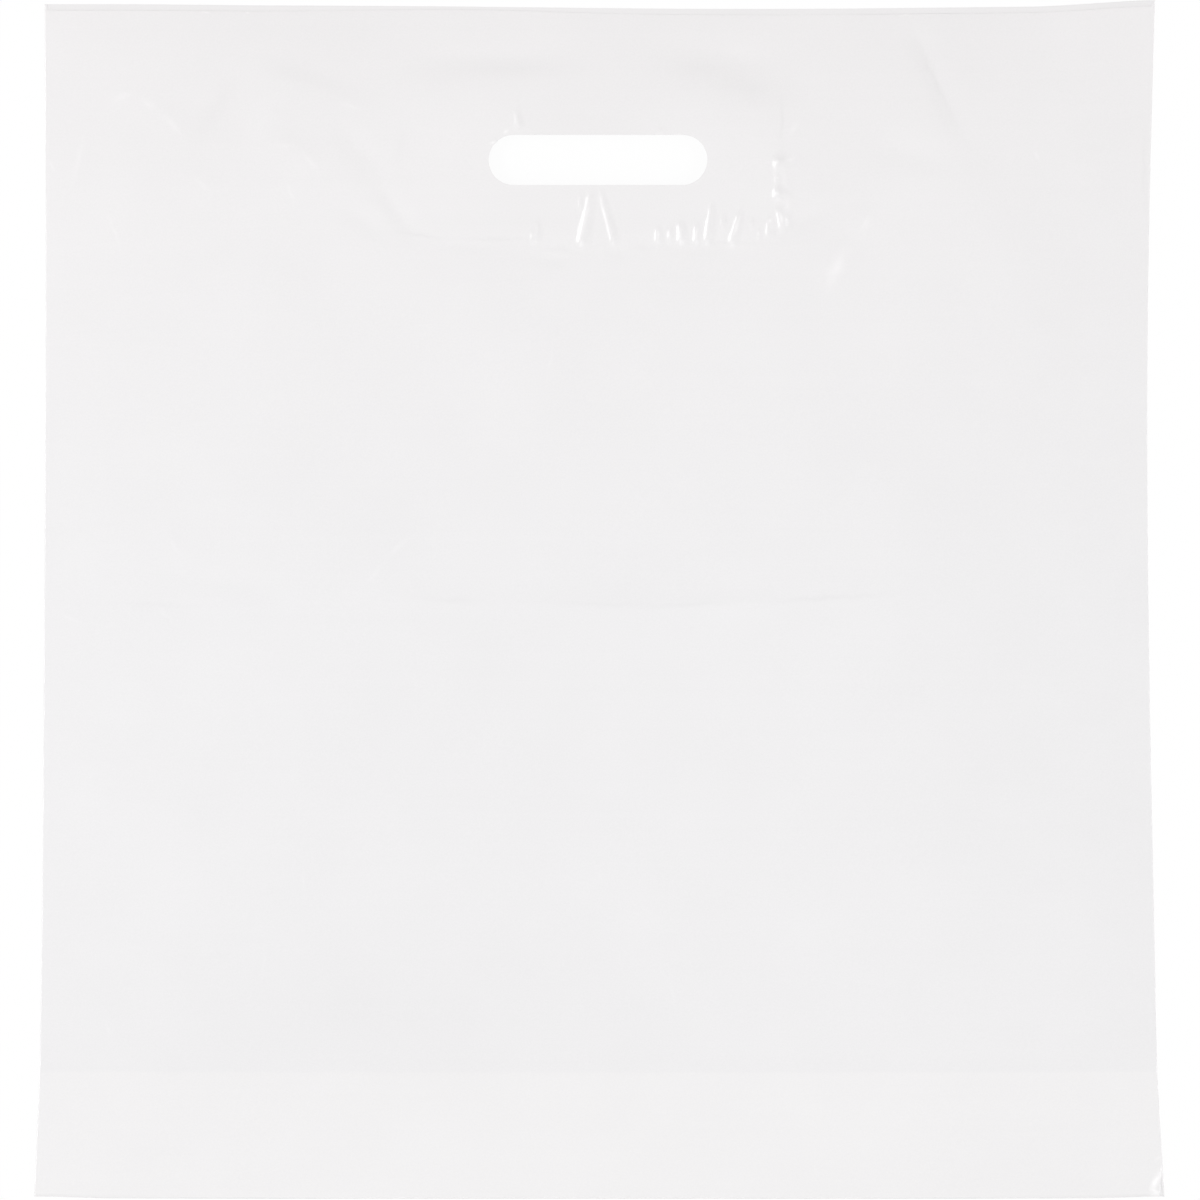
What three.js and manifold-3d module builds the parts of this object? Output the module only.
// A plastic carrier bag with a punched hand slot, empty and lying on its back as it comes to rest.
// One web of film is folded into a back panel, a bottom gusset and a front panel, welded down both
// sides and left open at the mouth. A film patch is bonded inside each panel round the slot.
// Millimetres. +X runs across the bag, +Y from the bottom folds to the mouth, +Z up off the table.
// The origin is on the table, under the middle of the bag.
import * as THREE from "three";
import { mergeVertices } from "three/addons/utils/BufferGeometryUtils.js";
import Module from "manifold-3d";

// Outline, measured over the bottom folds
const bagHeight = 475; // to the mouth edge of the back panel
const bottomWidth = 450; // across the pressed gusset
const waistWidth = 438.5; // where the side welds have drawn the film in most
const mouthWidth = 442;
const waistHeight = 317; // of the waist over the bottom folds
const lipStep = 2.5; // the front panel stops this short of the back panel at the mouth

// Film as it lies
const filmGauge = 0.055;
const panelLoft = 7; // top of the front panel over the table, at its shoulders along the sides
const middleSag = 1; // drop from the shoulders to the middle of the front panel
const sideRoll = 40; // width over which the front panel rolls down from a shoulder to the weld
const shoulderWidth = 70; // width over which it sags from a shoulder to the middle
const weldWidth = 1.2;
const weldBead = 0.4; // height of the melted edge
const creaseHeight = 0.6; // ridge left where the bag was packed folded in half
const creaseWidth = 9;

// Bottom gusset
const gussetDepth = 50; // bottom folds to the inner fold
const bottomFold = 1.2; // height of each bottom fold, over its film
const innerFold = 0.9; // height of the inner fold, over its film
const gussetRise = 80; // length over which the front panel rises from the gusset to its full loft

// Hand slot and its patches
const slotLength = 87;
const slotWidth = 20;
const mouthBand = 26; // mouth edge of the back panel to the patch
const patchAbove = 26; // patch beyond the slot, on each of its four sides
const patchBelow = 21.5;
const patchLeft = 38;
const patchRight = 31;
const patchCorner = 10;
const patchGauge = 0.07;
const bondLine = 0.02; // adhesive between a patch and its panel
const patchRelief = 0.7; // the stiff patch holds the front panel this far over the film round it
const reliefMargin = 1.5; // flat film past the patch's edge
const reliefRun = 6; // width of the slope down from the patch

// Fineness of the folded film
const rollSteps = 6;
const shoulderSteps = 4;
const backRows = 10;
const leafRows = 3;
const foldSteps = 4;
const riseSteps = 8;
const weldRows = 24;
const roundSteps = 10;
const finestCell = 0.4;

const wasm = await Module();
wasm.setup();

// Places that follow from the sizes
const crease = bagHeight / 2;
const patchTop = bagHeight - mouthBand;
const slotMiddle = patchTop - patchAbove - slotWidth / 2;
const patchBottom = slotMiddle - slotWidth / 2 - patchBelow;
const patchFrom = -slotLength / 2 - patchLeft;
const patchTo = slotLength / 2 + patchRight;
const patchLevel = panelLoft - middleSag + patchRelief;

// Half the bag's width at a height over the bottom folds. Over the waist it grows with the square of
// the distance, and under it with the cube, out to the flare of the gusset.
function halfWidth(y) {
  if (y > waistHeight) {
    const share = (y - waistHeight) / (bagHeight - waistHeight);
    return (waistWidth + (mouthWidth - waistWidth) * share ** 2) / 2;
  }
  const share = (waistHeight - y) / waistHeight;
  return (waistWidth + (bottomWidth - waistWidth) * share ** 3) / 2;
}

// From the bag's middle to the middle of a weld, where the loose film ends.
function filmReach(y) {
  return halfWidth(y) - weldWidth / 2;
}

// Height of the middle of each layer of film over the table. Layers count up from the back panel:
// 0 back panel, 1 and 2 the gusset's leaves, 3 front panel.
const gussetHeights = [
  filmGauge / 2,
  bottomFold - filmGauge / 2,
  bottomFold + innerFold - 1.5 * filmGauge,
  2 * bottomFold + innerFold - 2.5 * filmGauge,
];

// The front panel away from the welds: flat over the gusset, then climbing to its loft, sagging from
// its shoulders to the middle, ridged at the crease and held up flat by the patch.
function frontHeight(x, y, fromWeld) {
  const { smoothstep, smootherstep, lerp } = THREE.MathUtils;
  const sag = middleSag * smoothstep(fromWeld, sideRoll, sideRoll + shoulderWidth);
  const ridge = creaseHeight * Math.max(0, 1 - Math.abs(y - crease) / (creaseWidth / 2));
  const climb = smootherstep(y, gussetDepth, gussetDepth + gussetRise);
  const loose = lerp(gussetHeights[3], panelLoft - sag - filmGauge / 2, climb) + ridge;
  const besideX = Math.max(patchFrom - x, x - patchTo, reliefMargin) - reliefMargin;
  const besideY = Math.max(patchBottom - y, y - patchTop, reliefMargin) - reliefMargin;
  const held = 1 - smoothstep(Math.hypot(besideX, besideY), 0, reliefRun);
  return lerp(loose, patchLevel - filmGauge / 2, held);
}

// Every layer rolls down to its place in the weld along a quarter of an ellipse.
function layerHeight(layer, x, y) {
  const fromWeld = Math.max(0, filmReach(y) - Math.abs(x));
  const open = layer === 3 ? frontHeight(x, y, fromWeld) : gussetHeights[layer];
  const welded = filmGauge / 2 + (layer * (weldBead - filmGauge)) / 3;
  const down = Math.max(0, 1 - fromWeld / sideRoll);
  return welded + (open - welded) * Math.sqrt(1 - down ** 2);
}

// Sorted, without those that would make a cell finer than the finest.
function inOrder(marks) {
  const sorted = marks.sort((a, b) => a - b);
  const last = sorted[sorted.length - 1];
  const apart = sorted.filter((mark, k) => k === 0 || mark - sorted[k - 1] > finestCell);
  return [...apart.filter((mark) => last - mark > finestCell), last];
}

// Columns across the film at the slot's height: close where it rolls down, and at the patch.
function columnMarks() {
  const reach = filmReach(slotMiddle);
  const marks = [];
  for (let k = 0; k <= rollSteps; k += 1) {
    marks.push(reach - sideRoll * (1 - Math.cos((k / rollSteps) * (Math.PI / 2))));
  }
  for (let k = 1; k <= shoulderSteps; k += 1) {
    marks.push(reach - sideRoll - (shoulderWidth * k) / shoulderSteps);
  }
  const past = reliefMargin + reliefRun;
  const patchMarks = [patchFrom - past, patchFrom - reliefMargin, patchTo + reliefMargin, patchTo + past];
  return inOrder([...marks.map((x) => -x), ...patchMarks, ...marks]);
}

// A column keeps its place at the patch, and past it spreads evenly out to the welds.
function columnX(mark, y) {
  const kept = Math.max(-patchFrom, patchTo) + reliefMargin + reliefRun;
  const reach = filmReach(slotMiddle);
  const spread = Math.max(0, Math.abs(mark) - kept) / (reach - kept);
  return mark + Math.sign(mark) * spread * (filmReach(y) - reach);
}

// Rows of the front panel, bottom to mouth: close where it rises, at the crease and at the patch.
function frontRows() {
  const mouth = bagHeight - lipStep;
  const past = reliefMargin + reliefRun;
  const rows = [gussetDepth / 3, (2 * gussetDepth) / 3];
  for (let k = 0; k <= riseSteps; k += 1) {
    rows.push(gussetDepth + (gussetRise * k) / riseSteps);
  }
  rows.push(crease - creaseWidth / 2, crease, crease + creaseWidth / 2, waistHeight);
  rows.push(patchBottom - past, patchBottom - reliefMargin, patchTop + reliefMargin, patchTop + past);
  return inOrder([...rows.filter((y) => y < mouth), mouth]);
}

// Stations along the web, from the back panel's mouth down and round the gusset to the front panel's.
// A station is either a row of one layer or a step round the fold between two layers.
function webStations() {
  const stations = [];
  for (let k = 0; k < backRows; k += 1) {
    stations.push({ layer: 0, y: bagHeight + ((gussetDepth / 3 - bagHeight) * k) / (backRows - 1) });
  }
  const addFold = (layer, at, towards) => {
    for (let k = 0; k <= foldSteps; k += 1) {
      stations.push({ layer, at, towards, angle: (Math.PI * k) / foldSteps });
    }
  };
  addFold(0, 0, -1);
  for (let k = 1; k < leafRows; k += 1) {
    stations.push({ layer: 1, y: (gussetDepth * k) / leafRows });
  }
  addFold(1, gussetDepth, 1);
  for (let k = leafRows - 1; k > 0; k -= 1) {
    stations.push({ layer: 2, y: (gussetDepth * k) / leafRows });
  }
  addFold(2, 0, -1);
  for (const y of frontRows()) {
    stations.push({ layer: 3, y });
  }
  return stations;
}

// Where a station of the web lies in a column, as the middle of the film.
function webPoint(station, mark) {
  const at = station.angle === undefined ? station.y : station.at;
  const x = columnX(mark, at);
  const under = layerHeight(station.layer, x, at);
  if (station.angle === undefined) {
    return new THREE.Vector3(x, at, under);
  }
  const radius = (layerHeight(station.layer + 1, x, at) - under) / 2;
  const centre = at - station.towards * (radius + filmGauge / 2);
  const y = centre + station.towards * radius * Math.sin(station.angle);
  return new THREE.Vector3(x, y, under + radius * (1 - Math.cos(station.angle)));
}

// A flat slab of film, one cell thick, laid along the web's section in every column.
function foldedWeb() {
  const marks = columnMarks();
  const stations = webStations();
  const across = marks.length - 1;
  const along = stations.length - 1;
  const middle = marks.map((mark) => stations.map((station) => webPoint(station, mark)));
  const slab = new THREE.BoxGeometry(across, along, 1, across, along, 1);
  const position = slab.attributes.position;
  for (let v = 0; v < position.count; v += 1) {
    const column = middle[Math.round(position.getX(v) + across / 2)];
    const j = Math.round(position.getY(v) + along / 2);
    const before = column[Math.max(j - 1, 0)];
    const after = column[Math.min(j + 1, along)];
    const run = Math.hypot(after.y - before.y, after.z - before.z);
    const offset = (Math.sign(position.getZ(v)) * filmGauge) / 2 / run;
    const y = column[j].y - offset * (after.z - before.z);
    const z = column[j].z + offset * (after.y - before.y);
    position.setXYZ(v, column[j].x, y, z);
  }
  return slab;
}

// The melted edge down one side of the bag, side -1 or 1, which joins every layer.
function sideWeld(side) {
  const strip = new THREE.BoxGeometry(weldWidth, bagHeight, weldBead, 1, weldRows, 1);
  strip.translate(0, bagHeight / 2, weldBead / 2);
  const position = strip.attributes.position;
  for (let v = 0; v < position.count; v += 1) {
    position.setX(v, position.getX(v) + side * filmReach(position.getY(v)));
  }
  return strip;
}

function slotOutline(path) {
  const straight = slotLength / 2 - slotWidth / 2;
  path.absarc(straight, slotMiddle, slotWidth / 2, -Math.PI / 2, Math.PI / 2, false);
  path.absarc(-straight, slotMiddle, slotWidth / 2, Math.PI / 2, 1.5 * Math.PI, false);
  path.closePath();
  return path;
}

function patchOutline() {
  const left = patchFrom + patchCorner;
  const right = patchTo - patchCorner;
  const low = patchBottom + patchCorner;
  const high = patchTop - patchCorner;
  const outline = new THREE.Shape();
  outline.absarc(right, low, patchCorner, -Math.PI / 2, 0, false);
  outline.absarc(right, high, patchCorner, 0, Math.PI / 2, false);
  outline.absarc(left, high, patchCorner, Math.PI / 2, Math.PI, false);
  outline.absarc(left, low, patchCorner, Math.PI, 1.5 * Math.PI, false);
  outline.closePath();
  outline.holes.push(slotOutline(new THREE.Path()));
  return outline;
}

function extruded(shape, depth) {
  return new THREE.ExtrudeGeometry(shape, { depth, bevelEnabled: false, curveSegments: roundSteps });
}

function toSolid(geometry) {
  geometry.deleteAttribute("normal");
  geometry.deleteAttribute("uv");
  const closed = mergeVertices(geometry, 1e-5);
  const vertProperties = Float32Array.from(closed.attributes.position.array);
  const triVerts = Uint32Array.from(closed.index.array);
  return new wasm.Manifold(new wasm.Mesh({ numProp: 3, vertProperties, triVerts }));
}

function toGeometry(solid) {
  const mesh = solid.getMesh();
  const geometry = new THREE.BufferGeometry();
  geometry.setAttribute("position", new THREE.BufferAttribute(mesh.vertProperties, 3));
  geometry.setIndex(new THREE.BufferAttribute(mesh.triVerts, 1));
  geometry.computeVertexNormals();
  return geometry;
}

const slotPunch = extruded(slotOutline(new THREE.Shape()), panelLoft + 2 * weldBead);
slotPunch.translate(0, 0, -weldBead);
const film = toSolid(foldedWeb())
  .add(toSolid(sideWeld(-1)))
  .add(toSolid(sideWeld(1)))
  .subtract(toSolid(slotPunch));

const filmFinish = { color: 0xefeeee, roughness: 0.3, metalness: 0 };
const patchFinish = { color: 0xf1f0ef, roughness: 0.35, metalness: 0 };

function part(name, geometry, finish) {
  const mesh = new THREE.Mesh(geometry, new THREE.MeshStandardMaterial(finish));
  mesh.name = name;
  return mesh;
}

const bag = new THREE.Group();
bag.name = "carrier_bag";
bag.position.y = -bagHeight / 2;
bag.add(part("bag_film", toGeometry(film), filmFinish));

const frontPatch = part("handle_patch_front", extruded(patchOutline(), patchGauge), patchFinish);
frontPatch.position.z = patchLevel - filmGauge - bondLine - patchGauge;
bag.add(frontPatch);

const backPatch = part("handle_patch_back", extruded(patchOutline(), patchGauge), patchFinish);
backPatch.position.z = filmGauge + bondLine;
bag.add(backPatch);

export default bag;
